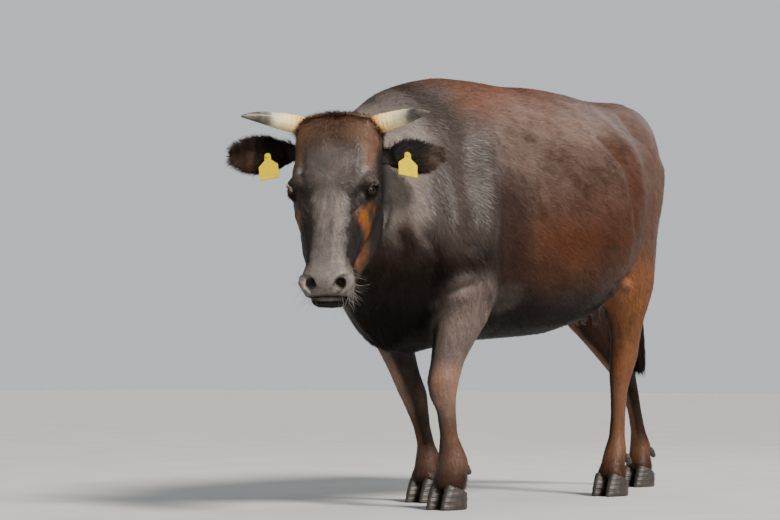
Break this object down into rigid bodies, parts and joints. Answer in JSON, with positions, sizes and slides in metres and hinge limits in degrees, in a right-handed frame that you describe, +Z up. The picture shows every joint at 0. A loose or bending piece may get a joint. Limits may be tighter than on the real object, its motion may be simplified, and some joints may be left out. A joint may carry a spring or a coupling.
{
  "type": "cow model",
  "caption": "Life-size still model of a horned dark brown cow in mid stride, head lowered and turned to its left, with blank ear tags.",
  "frame": {"origin": "on the floor under the middle of the animal's bounding box", "axes": "+Z up, the body faces -Y, and the animal's left side is +X"},
  "size_m": [0.7769, 2.2713, 1.3549],
  "materials": {
    "coat": "short glossy hair, near-black brown with rust on the back and hindquarters",
    "horn": "smooth horn, cream base, white middle and dark grey-green tip",
    "hoof": "dull grey-brown hoof horn with fine rings",
    "eye": "wet, very dark brown",
    "tag": "plain yellow, slightly glossy"
  },
  "bodies": {
    "root": {"head": "coat", "neck": "coat", "trunk": "coat", "tail": "coat", "udder": "coat", "foreleg_left": "coat", "foreleg_right": "coat", "hindleg_left": "coat", "hindleg_right": "coat", "ear_left": "coat", "ear_right": "coat", "horn_left": "horn", "horn_right": "horn", "eye_left": "eye", "eye_right": "eye", "ear_tag_left": "tag", "ear_tag_right": "tag", "forehoof_left_outer": "hoof", "forehoof_left_dewclaw_outer": "hoof", "forehoof_left_inner": "hoof", "forehoof_left_dewclaw_inner": "hoof", "forehoof_right_outer": "hoof", "forehoof_right_dewclaw_outer": "hoof", "forehoof_right_inner": "hoof", "forehoof_right_dewclaw_inner": "hoof", "hindhoof_left_outer": "hoof", "hindhoof_left_dewclaw_outer": "hoof", "hindhoof_left_inner": "hoof", "hindhoof_left_dewclaw_inner": "hoof", "hindhoof_right_outer": "hoof", "hindhoof_right_dewclaw_outer": "hoof", "hindhoof_right_inner": "hoof", "hindhoof_right_dewclaw_inner": "hoof"}
  },
  "joints": []
}
